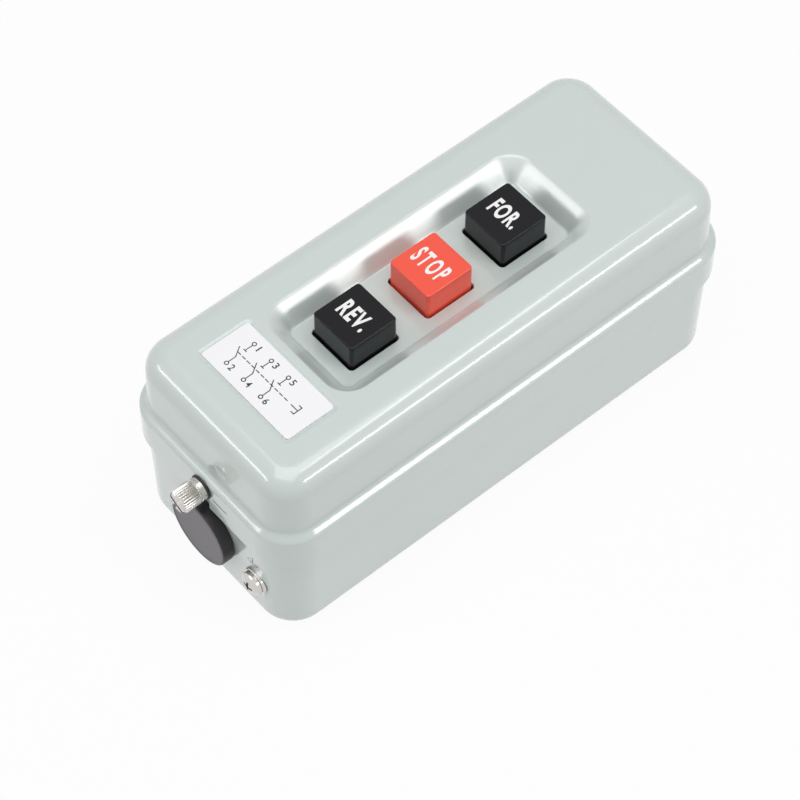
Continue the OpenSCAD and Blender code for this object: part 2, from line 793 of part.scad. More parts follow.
// Bent sheet channel that guides the stems and the latch plate
module mechanism_frame() {
    color([0.74, 0.75, 0.76]) translate([stop_x, 0, 0]) difference() {
        union() {
            block([-frame_half_x, -frame_outer_y, frame_under_z],
                [frame_half_x, frame_outer_y, frame_top_z]);
            for (side = [-1, 1]) {
                low = side > 0 ? frame_inner_y : -frame_outer_y;
                block([-frame_half_x, low, block_top_z],
                    [frame_half_x, low + frame_sheet, frame_top_z]);
                for (x = [-foot_place, foot_place]) {
                    foot = side > 0 ? frame_inner_y : -frame_outer_y - foot_reach;
                    block([x - foot_length / 2, foot, block_top_z],
                        [x + foot_length / 2, foot + foot_reach + frame_sheet,
                         block_top_z + frame_sheet]);
                }
            }
            block([frame_half_x - overrun, -frame_tab_half, frame_under_z],
                [frame_tab_x + frame_sheet, frame_tab_half, frame_top_z]);
            block([frame_tab_x, -frame_tab_half, frame_tab_z],
                [frame_tab_x + frame_sheet, frame_tab_half, frame_top_z]);
        }
        for (x = [-button_pitch, 0, button_pitch]) translate([x, 0, frame_under_z - overrun])
            cylinder(h = frame_sheet + 2 * overrun, d = stem_d + 2 * stem_gap);
        for (x = [-foot_place, foot_place], side = [-1, 1])
            translate([x, side * foot_hole_y, block_top_z - overrun])
                cylinder(h = frame_sheet + 2 * overrun, d = frame_screw_d + hole_gap);
        for (x = [-latch_ear_place, latch_ear_place])
            block([x - latch_ear_length / 2 - latch_gap, -frame_outer_y - overrun,
                   latch_z - latch_slot_gap],
                [x + latch_ear_length / 2 + latch_travel + latch_gap, frame_outer_y + overrun,
                 latch_top_z + latch_slot_gap]);
    }
}

// Pan-head screw standing on z = 0, head up
module pan_screw(diameter, head_d, head, depth) {
    difference() {
        cylinder(h = head, d = head_d);
        block([-head_d, -screw_slot / 2, head - screw_slot_depth],
            [head_d, screw_slot / 2, head + overrun]);
    }
    translate([0, 0, -depth]) cylinder(h = depth, d = diameter);
}

module frame_screws() {
    color([0.76, 0.77, 0.79]) translate([stop_x, 0, 0]) for (x = [-foot_place, foot_place], side = [-1, 1])
        translate([x, side * foot_hole_y, block_top_z + frame_sheet])
            pan_screw(frame_screw_d, frame_screw_head_d, frame_screw_head,
                frame_screw_length - frame_screw_head);
}

// Moulded block with ears for the studs and barriers between the poles
module terminal_block() {
    half_x = block_length / 2;
    color([0.3, 0.2, 0.14]) translate([stop_x, 0, 0]) difference() {
        union() {
            block([-half_x, -block_width / 2, block_z], [half_x, block_width / 2, block_top_z]);
            at_corners(stud_x, stud_y)
                block([-ear_half_x, -ear_half_y, block_z], [ear_half_x, ear_half_y, block_z + ear_thickness]);
            for (side = [-1, 1]) {
                y = side * pole_pitch / 2;
                block([-half_x, y - barrier_thickness / 2, block_z],
                    [half_x, y + barrier_thickness / 2, block_top_z + barrier_height]);
            }
        }
        at_corners(stud_x, stud_y) translate([0, 0, block_z - overrun])
            cylinder(h = ear_thickness + 2 * overrun, d = stud_d + hole_gap);
        for (x = [-foot_place, foot_place], side = [-1, 1])
            translate([x, side * foot_hole_y, block_top_z - frame_screw_length + frame_screw_head])
                cylinder(h = frame_screw_length, d = frame_screw_d + 2 * tight_fit);
        for (y = lane_places) {
            translate([line_screw_x - stop_x, y + terminal_shift, block_top_z - terminal_depth])
                cylinder(h = terminal_depth + overrun, d = terminal_screw_d + 2 * tight_fit);
            translate([motor_screw_x - stop_x, y - terminal_shift, block_top_z - terminal_depth])
                cylinder(h = terminal_depth + overrun, d = terminal_screw_d + 2 * tight_fit);
        }
    }
}

// Contact button on a strip
module fixed_tip(x) {
    translate([x, 0, strip_top_z - overrun / 4]) cylinder(h = contact_tip + overrun / 4, d = contact_tip_d);
}

// Flat piece of strip between two plan corners
module strip(low, high) {
    block([low[0], low[1], block_top_z], [high[0], high[1], strip_top_z]);
}

// Line strips: a terminal pad, the reverse contact, and a rail on to the forward contact
module line_strips() {
    start = line_screw_x - terminal_pad_length / 2;
    pad_end = start + terminal_pad_length;
    reverse_contact = reverse_x - contact_offset;
    forward_contact = forward_x - contact_offset;
    color([0.86, 0.72, 0.36]) for (y = lane_places) translate([0, y, 0]) difference() {
        union() {
            strip([start, -pad_reach], [pad_end, rail_outer]);
            strip([start, -pad_half], [reverse_contact + pad_reach, pad_half]);
            strip([start, rail_inner], [forward_contact + pad_reach, rail_outer]);
            strip([forward_contact - pad_reach, -pad_half], [forward_contact + pad_reach, rail_outer]);
            fixed_tip(reverse_contact);
            fixed_tip(forward_contact);
        }
        screw_hole(line_screw_x, terminal_shift);
    }
}

// Hole for a terminal screw through a strip
module screw_hole(x, y) {
    translate([x, y, block_top_z - overrun])
        cylinder(h = strip_thickness + 2 * overrun, d = terminal_screw_d + hole_gap);
}

// Motor strips: the middle pole runs straight, the outer poles are joined by the crossed links
module motor_strips() {
    end = motor_screw_x + terminal_pad_length / 2;
    pad_start = end - terminal_pad_length;
    reverse_contact = reverse_x + contact_offset;
    forward_contact = forward_x + contact_offset;
    landing = link_width / 2 + link_margin;
    color([0.86, 0.72, 0.36]) for (y = lane_places) translate([0, y, 0]) {
        rail_start = y == 0 ? reverse_contact - pad_reach : link_far_x - landing;
        difference() {
            union() {
                strip([pad_start, -rail_outer], [end, pad_reach]);
                strip([forward_contact - pad_reach, -pad_half], [end, pad_half]);
                strip([rail_start, -rail_outer], [end, -rail_inner]);
                fixed_tip(forward_contact);
                if (y == 0) {
                    strip([rail_start, -rail_outer], [reverse_contact + pad_reach, pad_half]);
                    fixed_tip(reverse_contact);
                } else {
                    strip([rail_start, -rail_outer], [link_far_x + landing, pad_half]);
                }
            }
            screw_hole(motor_screw_x, -terminal_shift);
        }
        if (y != 0) {
            strip([reverse_contact - pad_reach, -pad_half], [link_near_x + landing, pad_half]);
            fixed_tip(reverse_contact);
        }
    }
}

// Bar from one outer pole's reverse contact over to the other's motor strip
module cross_link(side, z) {
    from = [link_near_x, side * pole_pitch];
    to = [link_far_x, -side * pole_pitch - link_far_shift];
    half = link_width / 2;
    run = to - from;
    for (p = [from, to]) block([p[0] - half, p[1] - half, strip_top_z],
        [p[0] + half, p[1] + half, z + link_thickness]);
    translate([from[0], from[1], z]) rotate([0, 0, atan2(run[1], run[0])])
        block([0, -half, 0], [norm(run), half, link_thickness]);
}

module cross_links() {
    color([0.8, 0.5, 0.32]) {
        cross_link(-1, link_lower_z);
        cross_link(1, link_upper_z);
    }
}

// Places of the six terminal screws
module at_terminals(z) {
    for (y = lane_places) {
        translate([line_screw_x, y + terminal_shift, z]) children();
        translate([motor_screw_x, y - terminal_shift, z]) children();
    }
}

module terminal_clamps() {
    color([0.8, 0.81, 0.82]) at_terminals(strip_top_z) difference() {
        translate([0, 0, clamp_thickness / 2]) cube([clamp_size, clamp_size, clamp_thickness], center = true);
        translate([0, 0, -overrun])
            cylinder(h = clamp_thickness + 2 * overrun, d = terminal_screw_d + hole_gap);
    }
}

module terminal_screws() {
    color([0.8, 0.81, 0.82]) at_terminals(strip_top_z + clamp_thickness)
        pan_screw(terminal_screw_d, terminal_head_d, terminal_head, terminal_depth);
}

// Studs welded to the tray, with collars that carry the block's ears
module block_studs() {
    shank_top = block_z + ear_thickness + nut_height + stud_top_gap;
    color([0.72, 0.73, 0.75]) translate([stop_x, 0, 0]) at_corners(stud_x, stud_y) {
        translate([0, 0, tray_sheet]) cylinder(h = block_z - tray_sheet, d = stud_collar_d);
        translate([0, 0, tray_sheet]) cylinder(h = shank_top - tray_sheet, d = stud_d);
    }
}

// Hexagon nut standing on z = 0
module hex_nut(across, height, bore) {
    difference() {
        cylinder(h = height, d = across / cos(30), $fn = 6);
        translate([0, 0, -overrun]) cylinder(h = height + 2 * overrun, d = bore);
    }
}

module block_nuts() {
    color([0.76, 0.77, 0.79]) translate([stop_x, 0, 0]) at_corners(stud_x, stud_y)
        translate([0, 0, block_z + ear_thickness])
            hex_nut(nut_across_flats, nut_height, stud_d + 2 * tight_fit);
}

module insulating_sheet() {
    color([0.78, 0.7, 0.52]) translate([stop_x, 0, tray_sheet]) linear_extrude(sheet_thickness)
        difference() {
            square([sheet_length, sheet_width], center = true);
            at_corners(stud_x, stud_y) circle(d = stud_collar_d + 2 * sheet_gap);
        }
}

// Knurled head with a cross recess, a collar and a plain shank
module thumb_screw() {
    collar_x = -thumb_seat_x - thumb_washer_thickness;
    head_x = collar_x - thumb_collar_thickness;
    front = head_x - thumb_head_length;
    color([0.82, 0.82, 0.8]) translate([0, -thumb_shift, thumb_z]) difference() {
        union() {
            rod_x(head_x, collar_x, thumb_head_d);
            difference() {
                rod_x(front + thumb_dome, head_x, thumb_head_d);
                for (i = [0:knurl_count - 1]) rotate([360 * i / knurl_count, 0, 0])
                    translate([0, 0, thumb_head_d / 2])
                        rod_x(front, head_x, knurl_groove_d, 16);
            }
            rotate([0, -90, 0]) translate([0, 0, -front - thumb_dome])
                cylinder(h = thumb_dome, d1 = thumb_head_d - 2 * knurl_groove_d,
                    d2 = thumb_head_d - 2 * knurl_groove_d - thumb_dome);
            rod_x(collar_x, collar_x + thumb_shank_length, thumb_shank_d);
        }
        for (turn = [0, 90]) rotate([turn + 45, 0, 0])
            block([front - overrun, -recess_length / 2, -recess_width / 2],
                [front + recess_depth, recess_length / 2, recess_width / 2]);
    }
}

module thumb_washer() {
    color([0.12, 0.12, 0.13]) translate([0, -thumb_shift, thumb_z]) difference() {
        rod_x(-thumb_seat_x - thumb_washer_thickness, -thumb_seat_x, thumb_washer_d);
        rod_x(-thumb_seat_x - thumb_washer_thickness - overrun, -thumb_seat_x + overrun,
            thumb_shank_d + 2 * tight_fit);
    }
}

// Tapped plate behind the tray's end wall
module thumb_clip() {
    wall = -tray_wall_x(clip_base_z) + tray_sheet;
    plate_x = wall + clip_thickness;
    color([0.72, 0.73, 0.75]) difference() {
        union() {
            difference() {
                block([wall, -thumb_shift - clip_width / 2, clip_base_z],
                    [plate_x, -thumb_shift + clip_width / 2, tray_z - clip_rim_gap]);
                thumb_notch(wall - overrun, plate_x + overrun);
            }
            translate([0, -thumb_shift, thumb_z])
                rod_x(plate_x, plate_x + clip_boss_length, clip_boss_d);
        }
        translate([0, -thumb_shift, thumb_z])
            rod_x(plate_x - overrun, plate_x + clip_boss_length + overrun, thumb_shank_d + 2 * tight_fit);
    }
}

// Rubber plug seen from its head, which is at z = 0 and below; the lip is inside the wall
module cable_plug() {
    head_r = plug_head_d / 2;
    neck_r = plug_hole_d / 2 - plug_neck_gap;
    lip_z = plug_seat_x - tray_wall_x(plug_z - plug_lip_d / 2) + tray_sheet + plug_lip_gap;
    rotate_extrude() polygon(concat(
        [[0, -plug_head_thickness]],
        [for (i = [0:arc_steps]) let (a = 90 * i / arc_steps)
            [head_r - plug_taper - plug_edge * (1 - sin(a)),
             -plug_head_thickness + plug_edge * (1 - cos(a))]],
        [[head_r, 0], [neck_r, 0], [neck_r, lip_z], [plug_lip_d / 2, lip_z],
         [neck_r, lip_z + plug_lip_thickness], [0, lip_z + plug_lip_thickness]]));
}

// Face of the wall behind the top of the plug's head
plug_seat_x = tray_wall_x(plug_z + plug_head_d / 2);

module near_cable_plug() {
    color([0.2, 0.19, 0.2]) translate([-plug_seat_x, 0, plug_z]) rotate([0, 90, 0]) cable_plug();
}

module far_cable_plug() {
    color([0.2, 0.19, 0.2]) translate([plug_seat_x, 0, plug_z]) rotate([0, -90, 0]) cable_plug();
}

// Face of the wall behind the top of the earth screw's washer
earth_seat_x = tray_wall_x(earth_z + earth_washer_d / 2);

module earth_washer() {
    color([0.8, 0.79, 0.74]) translate([0, -earth_shift, earth_z]) difference() {
        rod_x(-earth_seat_x - earth_washer_thickness, -earth_seat_x, earth_washer_d);
        rod_x(-earth_seat_x - earth_washer_thickness - overrun, -earth_seat_x + overrun,
            earth_shank_d + 2 * tight_fit);
    }
}

module earth_screw() {
    seat = -earth_seat_x - earth_washer_thickness;
    sphere_r = (earth_head_d * earth_head_d / 4 + earth_head * earth_head) / (2 * earth_head);
    color([0.82, 0.81, 0.76]) translate([0, -earth_shift, earth_z]) difference() {
        union() {
            intersection() {
                rod_x(seat - earth_head, seat, earth_head_d);
                translate([seat - earth_head + sphere_r, 0, 0]) sphere(sphere_r);
            }
            rod_x(seat, seat + earth_washer_thickness + tray_sheet + earth_shank_length, earth_shank_d);
        }
        for (turn = [0, 90]) rotate([turn + 20, 0, 0])
            block([seat - earth_head - overrun, -recess_length / 2, -recess_width / 2],
                [seat - earth_head + recess_depth, recess_length / 2, recess_width / 2]);
    }
}

// Nut on the earth screw inside the tray
module earth_nut() {
    inner = -tray_wall_x(earth_z - nut_across_flats / 2 / cos(30)) + tray_sheet;
    color([0.76, 0.77, 0.79]) translate([inner, -earth_shift, earth_z]) rotate([0, 90, 0])
        hex_nut(nut_across_flats, earth_nut_height, earth_shank_d + 2 * tight_fit);
}

echo("Least gap between turns, mm",
    return_spring = coil_gap(return_coil_d, return_wire, button_ceiling_z - frame_top_z, return_turns),
    contact_spring = coil_gap(contact_coil_d, contact_wire, contact_spring_height, contact_turns),
    latch_spring = coil_gap(latch_coil_d, latch_wire, frame_tab_x - latch_half_x, latch_turns));

base_tray();
cover();
rating_label();
cover_tongue();
reverse_button();
stop_button();
forward_button();
reverse_plunger();
stop_plunger();
forward_plunger();
return_spring(reverse_x);  // reverse_spring
return_spring(stop_x);  // stop_spring
return_spring(forward_x);  // forward_spring
carrier(reverse_x);  // reverse_carrier
carrier(forward_x);  // forward_carrier
carrier_pin(reverse_x);  // reverse_carrier_pin
carrier_pin(forward_x);  // forward_carrier_pin
contact_posts(reverse_x);  // reverse_contact_posts
contact_posts(forward_x);  // forward_contact_posts
bridges(reverse_x);  // reverse_bridges
bridges(forward_x);  // forward_bridges
contact_springs(reverse_x);  // reverse_contact_springs
contact_springs(forward_x);  // forward_contact_springs
latch_plate();
latch_spring();
mechanism_frame();
frame_screws();
terminal_block();
line_strips();
motor_strips();
cross_links();
terminal_clamps();
terminal_screws();
block_studs();
block_nuts();
insulating_sheet();
thumb_screw();
thumb_washer();
thumb_clip();
near_cable_plug();
far_cable_plug();
earth_screw();
earth_washer();
earth_nut();
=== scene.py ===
"""Looks of a three-pole reversing pushbutton switch in an enamelled steel box.

Sizes are in mm and become metres where a mesh is made. Every new piece lies in the CAD part's
frame: X along the box with the label at -X, Z up, the origin under the middle of the tray.
"""
import bpy
import numpy as np
from mathutils import Matrix, Vector
from mathutils.geometry import delaunay_2d_cdt


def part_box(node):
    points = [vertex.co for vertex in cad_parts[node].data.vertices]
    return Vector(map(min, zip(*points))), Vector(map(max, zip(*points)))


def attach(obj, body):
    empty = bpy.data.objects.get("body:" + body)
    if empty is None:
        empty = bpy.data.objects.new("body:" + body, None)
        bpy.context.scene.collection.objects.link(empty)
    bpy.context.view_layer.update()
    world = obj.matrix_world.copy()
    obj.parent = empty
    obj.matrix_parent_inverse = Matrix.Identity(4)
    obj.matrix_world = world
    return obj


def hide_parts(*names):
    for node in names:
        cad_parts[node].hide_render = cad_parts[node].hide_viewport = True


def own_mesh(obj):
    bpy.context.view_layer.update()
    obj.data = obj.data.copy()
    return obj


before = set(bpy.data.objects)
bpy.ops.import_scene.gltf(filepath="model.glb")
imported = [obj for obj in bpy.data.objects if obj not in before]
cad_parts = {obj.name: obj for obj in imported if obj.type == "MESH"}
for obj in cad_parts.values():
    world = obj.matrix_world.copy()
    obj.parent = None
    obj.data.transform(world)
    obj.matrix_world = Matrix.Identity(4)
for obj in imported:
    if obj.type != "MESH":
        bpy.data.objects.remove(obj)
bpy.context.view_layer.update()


# Camera, lamps and floor of a white studio. The camera was worked out from the box's edges in the
# photo. A broad light hangs overhead, a narrow strip high on the right draws the top's edges, and a
# softbox on either side, some 30 degrees up, shows in the dish's slopes.
class Socket:
    """A shader value. Each operator adds one maths node, and node() adds a node of any other kind."""

    def __init__(self, tree, socket=None):
        self.tree, self.socket = tree, socket

    def node(self, kind, inputs, output=0, **settings):
        """A node with its settings, and its inputs by name or number; returns the output asked for."""
        made = self.tree.nodes.new(kind)
        for key, value in settings.items():
            setattr(made, key, value)
        for key, value in inputs.items():
            if isinstance(value, Socket):
                self.tree.links.new(value.socket, made.inputs[key])
            else:
                made.inputs[key].default_value = value
        return Socket(self.tree, made.outputs[output]) if len(made.outputs) else None

    def maths(self, operation, a, b):
        return self.node("ShaderNodeMath", {0: a, 1: b}, operation=operation)

    def __add__(self, other):
        return self.maths("ADD", self, other)

    def __sub__(self, other):
        return self.maths("SUBTRACT", self, other)

    def __mul__(self, other):
        return self.maths("MULTIPLY", self, other)

    __radd__ = __add__
    __rmul__ = __mul__


def looked_at(start):
    """1 where the camera, a reflection or a refraction looks, and 0 for light that falls on the object."""
    return sum(start.node("ShaderNodeLightPath", {}, ray)
               for ray in ("Is Camera Ray", "Is Glossy Ray", "Is Transmission Ray"))


def softbox(name, direction, distance, width, height, level):
    """Rectangular lamp in a direction from the box's middle, facing it."""
    box_middle = Vector((0, 0, 0.04))
    lamp = bpy.data.lights.new(name, "AREA")
    lamp.shape, lamp.size, lamp.size_y, lamp.energy = "RECTANGLE", width, height, level
    stand = bpy.data.objects.new(name, lamp)
    away = Vector(direction).normalized()
    stand.matrix_world = (Matrix.Translation(away * distance + box_middle)
                          @ away.to_track_quat("Z", "Y").to_matrix().to_4x4())
    scene.collection.objects.link(stand)


scene = bpy.context.scene
scene.view_settings.view_transform = "Standard"
camera_data = bpy.data.cameras.new("camera")
camera_data.sensor_width, camera_data.lens = 36.0, 135.94
camera = bpy.data.objects.new("camera", camera_data)
camera_place = (-0.3212, -0.3638, 0.6980)
ahead = Vector((0.3717, 0.4369, -0.8191)).normalized()
right = Vector((0.7623, -0.6473, 0.0007))
right = (right - ahead * right.dot(ahead)).normalized()
above = right.cross(ahead)
camera.matrix_world = Matrix.Translation(camera_place) @ Matrix((right, above, -ahead)).transposed().to_4x4()
scene.collection.objects.link(camera)
scene.camera = camera

softbox("overhead", (-0.12, -0.08, 1), 1.2, 1.1, 1.1, 8.0)
softbox("high strip", (0.37, -0.19, 0.91), 1.1, 0.6, 0.06, 0.8)
softbox("right softbox", (0.372, -0.78, 0.50), 1.1, 0.52, 0.13, 2.3)
softbox("left softbox", (-0.78, 0.437, 0.44), 1.1, 0.62, 0.13, 1.8)

world = bpy.data.worlds.new("studio")
world.use_nodes = True
world.node_tree.nodes.clear()
scene.world = world
start = Socket(world.node_tree)
seen = looked_at(start)
surround = start.node("ShaderNodeBackground", {"Color": (0.98, 0.99, 1.0, 1.0), "Strength": 0.36})
white = start.node("ShaderNodeBackground", {"Color": (1.0, 1.0, 1.0, 1.0), "Strength": 1.0})
backdrop = start.node("ShaderNodeMixShader", {0: seen, 1: surround, 2: white})
start.node("ShaderNodeOutputWorld", {"Surface": backdrop})

floor_reach, floor_z = 3.0, -0.0004
floor_mesh = bpy.data.meshes.new("floor")
floor_mesh.from_pydata([(-floor_reach, -floor_reach, floor_z), (floor_reach, -floor_reach, floor_z),
                        (floor_reach, floor_reach, floor_z), (-floor_reach, floor_reach, floor_z)],
                       [], [(0, 1, 2, 3)])
floor_paint = bpy.data.materials.new("floor")
floor_paint.use_nodes = True
floor_paint.node_tree.nodes.clear()
start = Socket(floor_paint.node_tree)
seen = 0.93 * looked_at(start)
paper = start.node("ShaderNodeBsdfDiffuse", {"Color": (0.82, 0.82, 0.82, 1.0)})
blank = start.node("ShaderNodeEmission", {"Color": (1.0, 1.0, 1.0, 1.0), "Strength": 1.0})
floor_look = start.node("ShaderNodeMixShader", {0: seen, 1: paper, 2: blank})
start.node("ShaderNodeOutputMaterial", {"Surface": floor_look})
floor_mesh.materials.append(floor_paint)
floor = bpy.data.objects.new("floor", floor_mesh)
scene.collection.objects.link(floor)


# Cover: deep-drawn 1 mm steel sheet, stoved in glossy grey-green enamel with a little orange peel.
# One pressing makes the flared skirt, the step, the fillet and the dish with its three windows;
# the label's seat is pressed in, and the near end has the screw's slot, a slit and a dimple.
def finish(name, color, roughness, metallic=0.0, coat=0.0, grain=1100.0, depth=0.01, patches=0.02,
           scuffs=0.06):
    """A surface whose colour varies by patches and whose roughness varies by scuffs with slow noise, and
    which fine noise of this grain raises by depth mm."""
    material = bpy.data.materials.new(name)
    material.use_nodes = True
    tree = material.node_tree
    shader = tree.nodes["Principled BSDF"]
    start = Socket(tree)
    place = start.node("ShaderNodeTexCoord", {}, "Object")
    slow = start.node("ShaderNodeTexNoise", {"Vector": place, "Scale": 55.0, "Detail": 4.0}, "Fac")
    fine = start.node("ShaderNodeTexNoise", {"Vector": place, "Scale": grain, "Detail": 2.0}, "Fac")
    tone = (slow - 0.5) * (2 * patches) + 1.0
    tinted = start.node("ShaderNodeVectorMath", {"Vector": color, "Scale": tone}, "Vector", operation="SCALE")
    rough = (slow - 0.5) * (2 * scuffs) + (fine - 0.5) * scuffs + roughness
    raised = start.node("ShaderNodeBump", {"Height": fine, "Distance": depth * 0.001, "Strength": 1.0},
                        "Normal")
    for key, value in {"Base Color": tinted, "Roughness": rough, "Normal": raised}.items():
        tree.links.new(value.socket, shader.inputs[key])
    shader.inputs["Metallic"].default_value = metallic
    shader.inputs["Coat Weight"].default_value = coat
    shader.inputs["Coat Roughness"].default_value = 0.10
    return material


def columns(corner, right, top, left, bottom):
    """Where a rounded rectangle's points lie, anticlockwise from its +X side: shares of the straight part
    along each side, then steps round the corner. Gives what (half size - radius) and radius are
    multiplied by."""
    turn = np.radians(np.linspace(0, 90, corner + 1)[1:-1])
    runs = []
    for quarter, share in enumerate((right, top, left, bottom)):
        one = np.ones(len(share))
        run = np.concatenate([np.c_[one, share, one, 0 * one],
                              np.c_[np.ones((len(turn), 2)), np.cos(turn), np.sin(turn)]])
        for _ in range(quarter):
            run = np.c_[-run[:, 1], run[:, 0], -run[:, 3], run[:, 2]]
        runs.append(run)
    run = np.concatenate(runs)
    return run[:, :2], run[:, 2:]


def rings(inset, z, half, radius, places, centre=(0.0, 0.0)):
    """Rounded rectangles one above another:
    point = centre + place * (half - inset - radius) + direction * radius."""
    inset, z = np.asarray(inset, float), np.asarray(z, float)
    radius = np.broadcast_to(np.asarray(radius, float), inset.shape)
    along, out = places
    straight = np.array(half)[None, :] - (inset + radius)[:, None]
    flat = np.array(centre) + along[None] * straight[:, None] + out[None] * radius[:, None, None]
    return np.concatenate([flat, np.broadcast_to(z[:, None, None], flat.shape[:2] + (1,))], axis=2)


def skin(points):
    """Quads between the rows and columns of a grid of points, the last column joined to the first."""
    number = np.arange(points.shape[0] * points.shape[1]).reshape(points.shape[:2])
    after = np.roll(number, -1, axis=1)
    quads = np.stack([number[:-1], after[:-1], after[1:], number[1:]], axis=-1)
    return points.reshape(-1, 3), quads.reshape(-1, 4)


def fill(loops, z, facing=1):
    """Flat triangles inside the first loop and outside the rest: a triangle stays if an odd number of
    loop sides lie to the right of its middle."""
    flat = np.concatenate(loops)
    ends = np.cumsum([0] + [len(loop) for loop in loops])
    edges = np.concatenate([np.c_[np.arange(a, b), np.roll(np.arange(a, b), -1)]
                            for a, b in zip(ends, ends[1:])])
    made = delaunay_2d_cdt([Vector(p) for p in flat.tolist()], edges.tolist(), [], 0, 1e-6)
    triangles = np.array([source[0] for source in made[3]])[np.array(made[2])]
    middle = flat[triangles].mean(axis=1)[:, None]
    a, b = flat[edges[:, 0]], flat[edges[:, 1]]
    rise = np.where(a[:, 1] == b[:, 1], 1.0, b[:, 1] - a[:, 1])
    crossed = a[:, 0] + (middle[:, :, 1] - a[:, 1]) * (b[:, 0] - a[:, 0]) / rise
    beside = ((a[:, 1] > middle[:, :, 1]) != (b[:, 1] > middle[:, :, 1])) & (middle[:, :, 0] < crossed)
    triangles = triangles[beside.sum(axis=1) % 2 == 1]
    p, q, r = (flat[triangles[:, k]] for k in range(3))
    turned = (q[:, 0] - p[:, 0]) * (r[:, 1] - p[:, 1]) - (q[:, 1] - p[:, 1]) * (r[:, 0] - p[:, 0])
    triangles = np.where((turned * facing > 0)[:, None], triangles, triangles[:, ::-1])
    return np.c_[flat, np.full(len(flat), float(z))], triangles


def arc(u, v, radius, begin, end, steps=8):
    """Points of an arc about (u, v) between two angles in degrees: (u + radius cos, v + radius sin)."""
    turn = np.radians(np.linspace(begin, end, steps + 1))
    return np.c_[u + radius * np.cos(turn), v + radius * np.sin(turn)]


def prism(outline, low, high, axis):
    """An anticlockwise outline carried along an axis (0, 1 or 2) from low to high."""
    count = len(outline)
    ends = np.concatenate([np.c_[outline, np.full(count, float(low))],
                           np.c_[outline, np.full(count, float(high))]])
    points = np.roll(ends, axis + 1, axis=1)
    number = np.arange(count)
    after = np.roll(number, -1)
    return [(points, np.stack([number, after, after + count, number + count], axis=-1)),
            (points, number[None, ::-1]), (points, number[None] + count)]


def joined(name, parts):
    """One mesh in metres from patches in mm: points at one place become one, and closed-up corners go."""
    points = np.concatenate([patch[0] for patch in parts])
    _, first, number = np.unique(np.round(points * 1e3 + 0.137), axis=0, return_index=True,
                                 return_inverse=True)
    starts = np.cumsum([0] + [len(patch[0]) for patch in parts])
    faces = []
    for (_, patch), begin in zip(parts, starts):
        corners = number.ravel()[np.asarray(patch) + begin]
        repeat = corners == np.roll(corners, 1, axis=1)
        faces += corners[~repeat.any(axis=1)].tolist()
        once = corners[repeat.sum(axis=1) == 1]
        if len(once) and corners.shape[1] > 3:
            faces += once[~repeat[repeat.sum(axis=1) == 1]].reshape(len(once), -1).tolist()
    mesh = bpy.data.meshes.new(name)
    mesh.from_pydata((points[first] * 0.001).tolist(), [], faces)
    mesh.update()
    return mesh


def cut(mesh, cutters):
    """The mesh less the cutters."""
    things = [bpy.data.objects.new("work", each) for each in [mesh] + cutters]
    for thing in things:
        scene.collection.objects.link(thing)
    for tool in things[1:]:
        change = things[0].modifiers.new("cut", "BOOLEAN")
        change.operation, change.solver, change.object = "DIFFERENCE", "EXACT", tool
    finished = things[0].evaluated_get(bpy.context.evaluated_depsgraph_get())
    result = bpy.data.meshes.new_from_object(finished)
    result.name = mesh.name
    for thing in things:
        bpy.data.objects.remove(thing)
    return result


def piece(name, mesh, material, body, stands_for=(), sharp=38):
    """Puts a finished mesh in the scene, smooth but for its sharp edges, and has it ride its body."""
    mesh.polygons.foreach_set("use_smooth", np.ones(len(mesh.polygons), bool))
    mesh.set_sharp_from_angle(angle=np.radians(sharp))
    mesh.materials.clear()
    mesh.materials.append(material)
    made = bpy.data.objects.new(name.replace(" ", "_"), mesh)
    scene.collection.objects.link(made)
    normals = made.modifiers.new("normals", "WEIGHTED_NORMAL")
    normals.keep_sharp = True
    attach(made, body)
    if stands_for:
        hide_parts(*stands_for)
    return made


grey_green = (0.558, 0.622, 0.600)
enamel = finish("grey-green enamel", grey_green, 0.36, coat=1.0, grain=700.0, depth=0.005, patches=0.012)

# the shell: half sizes and corner radius at the skirt, heights, the step inwards and the wall's lean
half, radius = (80.0, 34.0), 12.5
sheet, fillet, outer_lip, inner_lip = 1.0, 7.5, 0.4, 0.3
skirt_low, step_low, step_high, top = 33.0, 43.5, 46.5, 66.0
step_in, lean, under_step = 2.2, 0.4, 0.5
fillet_in, fillet_z = step_in + lean + fillet, top - fillet
wave = (1 - np.cos(np.linspace(0, np.pi, 13))) / 2
rise = np.linspace(0, 1, 13)
step_up = (step_high - step_low) * rise
wall_z = np.r_[47.2, 48.0:54.01:0.25, 56.5]
wall = np.c_[step_in + lean * (wall_z - step_high) / (fillet_z - step_high), wall_z]
outer = np.concatenate([[[sheet - inner_lip, skirt_low]],
                        arc(outer_lip, skirt_low + outer_lip, outer_lip, 270, 180, 5),
                        np.c_[step_in * wave, step_low + step_up], wall,
                        arc(fillet_in, fillet_z, fillet, 180, 90, 18)])
inner = np.concatenate([arc(fillet_in, fillet_z, fillet - sheet, 90, 180, 12),
                        np.c_[sheet + step_in * wave[::-1], step_low - under_step + step_up[::-1]],
                        arc(sheet - inner_lip, skirt_low + inner_lip, inner_lip, 0, -90, 4)])
even = np.linspace(-1, 1, 17)
end_y = half[1] - radius
near_y = np.r_[end_y, 16.0, 8.0, 2.0, -2.0, -3.5:-9.6:-0.25, -12.0, -17.0, -end_y]
box_places = columns(14, even, even, -near_y / end_y, even)
outer_grid = rings(outer[:, 0], outer[:, 1], half, radius - outer[:, 0], box_places)
inner_grid = rings(inner[:, 0], inner[:, 1], half, radius - inner[:, 0], box_places)

